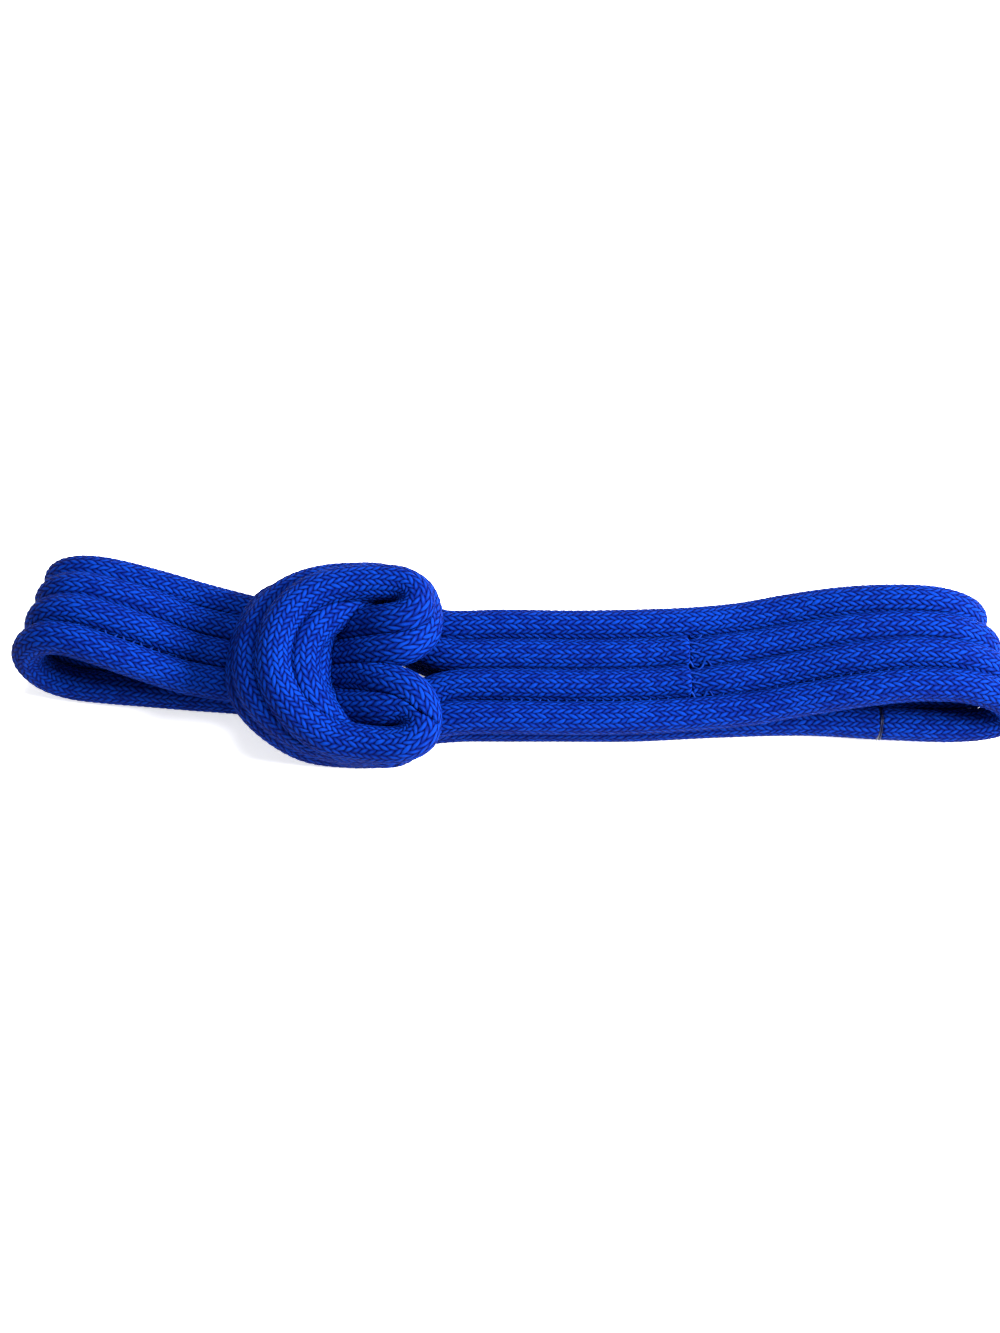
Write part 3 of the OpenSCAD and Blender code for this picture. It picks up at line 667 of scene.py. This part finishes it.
def end_skin(end, heading, radius):
    """Points of a melted end: a low dome whose rim and top wander by a few waves round it."""
    _, side, top = frames(np.stack([end, end + heading * MM]))
    around = 2 * np.pi * np.arange(SKIN_SIDES) / SKIN_SIDES
    share, angle = np.meshgrid(np.linspace(1, 0.04, SKIN_RINGS), around, indexing="ij")
    rim = radius * (1 + 0.03 * np.sin(3 * angle + 1) + 0.02 * np.sin(7 * angle))
    across = rim * np.sin(share * np.pi / 2)
    rise = SKIN_RISE * np.cos(share * np.pi / 2) * (1 + 0.2 * np.sin(5 * angle) * share)
    return (end + across[..., None] * (np.cos(angle)[..., None] * side[0]
                                       + np.sin(angle)[..., None] * top[0])
            + rise[..., None] * heading)


def joined_mesh(name, parts, material):
    """Several grids of points, each a closed cap or tube, as one piece."""
    pieces = [grid_mesh(f"{name}_{i}", points, material) for i, points in enumerate(parts)]
    with bpy.context.temp_override(active_object=pieces[0], selected_editable_objects=pieces):
        bpy.ops.object.join()
    pieces[0].name = name
    return pieces[0]


def make_ends(name, node, share, cords):
    """The melted skins on the ends of these cords, each a share of the cord's radius."""
    parts = []
    for cord, at_start in cords:
        line = LINES[cord]
        end, inner = (line[0], line[4]) if at_start else (line[-1], line[-5])
        heading = unit(end - inner)
        parts.append(end_skin(end - heading * SKIN_SINK, heading, CORD_R * share))
    ends = joined_mesh(name, parts, FUSED)
    bend_with_strap(ends, "right")
    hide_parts(node)
    return ends


make_ends("middle_cord_skins", "middle_joint_ends", 0.82,
          [("short_inner_cord", True), ("short_inner_cord", False),
           ("right_inner_cord", True), ("right_inner_cord", False)])
make_ends("lower_cord_skins", "lower_joint_ends", 1.04,
          [("right_outer_cord", True), ("right_outer_cord", False)])


STITCH_OFF = 0.9  # millimetres to each side of a cord's line that its two stitches lie
STITCH_REACH = 1.9 * MM  # from the cut to a stitch's end
STITCH_R = THREAD_R * 0.7


def make_stitches():
    """Stitches over the middle joint: short lengths of thread that slope down from one cord's
    end on to the next."""
    parts = []
    for k in (1, 2):
        x, y, z = np.array(RIGHT[k][MIDDLE_CUT]) * MM
        for off in (-STITCH_OFF, STITCH_OFF):
            t = np.linspace(-1, 1, 21)
            rise = CORD_R - 0.15 * MM - abs(off) * 0.15 * MM - 0.8 * MM * t
            line = np.stack([x + t * STITCH_REACH, y + off * MM + 0 * t, z + rise], 1)
            parts.append(tube_points(line, STITCH_R, THREAD_SIDES))
    stitches = joined_mesh("middle_joint_threads", parts, THREAD)
    bend_with_strap(stitches, "right")
    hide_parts("middle_joint_stitches")
    return stitches


make_stitches()


# ---------------------------------------------------------------- camera, light and floor

TARGET = Vector((-3.5, 0.8, 8)) * MM
CAMERA_ELEVATION = math.radians(66)
CAMERA_DISTANCE = 285 * MM
LENS = 54.4  # in millimetres, for a sensor 36 mm wide
WORLD_LIGHT = 0.42
FLOOR_GLOW = 0.5  # light of its own, which keeps the floor white
FLOOR_HALF = 3.0


def aim(thing, place, target):
    """Puts a camera or lamp at a place with its back to +Z, looking at the target."""
    thing.location = place
    thing.rotation_euler = (target - place).to_track_quat("-Z", "Y").to_euler()


camera_data = bpy.data.cameras.new("camera")
camera_data.sensor_fit = "HORIZONTAL"
camera_data.sensor_width = 36
camera_data.lens = LENS
camera_data.clip_start = 0.005
camera = bpy.data.objects.new("camera", camera_data)
bpy.context.collection.objects.link(camera)
ahead = Vector((0, math.cos(CAMERA_ELEVATION), -math.sin(CAMERA_ELEVATION)))
aim(camera, TARGET - ahead * CAMERA_DISTANCE, TARGET)
bpy.context.scene.camera = camera


def soft_lamp(name, place, size, power, colour):
    """A square area lamp that looks at the strap."""
    data = bpy.data.lights.new(name, "AREA")
    data.size = size
    data.energy = power
    data.color = colour
    lamp = bpy.data.objects.new(name, data)
    bpy.context.collection.objects.link(lamp)
    aim(lamp, Vector(place), Vector((0, 0, 0.01)))


soft_lamp("key", (0.50, -0.05, 0.36), 0.25, 20.0, (1, 0.98, 0.96))
soft_lamp("fill", (-0.4, -0.5, 0.6), 0.6, 1.5, (0.95, 0.97, 1))
soft_lamp("top", (0.15, 0.25, 0.75), 0.4, 9.0, (1, 1, 1))

world = bpy.data.worlds.new("studio")
world.use_nodes = True
world.node_tree.nodes["Background"].inputs["Color"].default_value = (1, 1, 1, 1)
world.node_tree.nodes["Background"].inputs["Strength"].default_value = WORLD_LIGHT
bpy.context.scene.world = world
bpy.context.scene.view_settings.view_transform = "Standard"

floor_material, floor_wire = new_material("pale_floor")
finish_material(floor_wire, {
    "Base Color": (0.93, 0.93, 0.93, 1), "Roughness": 0.9,
    "Emission Color": (1, 1, 1, 1), "Emission Strength": FLOOR_GLOW})
floor_mesh = bpy.data.meshes.new("floor")
corner = FLOOR_HALF
floor_mesh.from_pydata([(-corner, -corner, 0), (corner, -corner, 0), (corner, corner, 0),
                        (-corner, corner, 0)], [], [(0, 1, 2, 3)])
floor_mesh.materials.append(floor_material)
floor = bpy.data.objects.new("floor", floor_mesh)
bpy.context.collection.objects.link(floor)
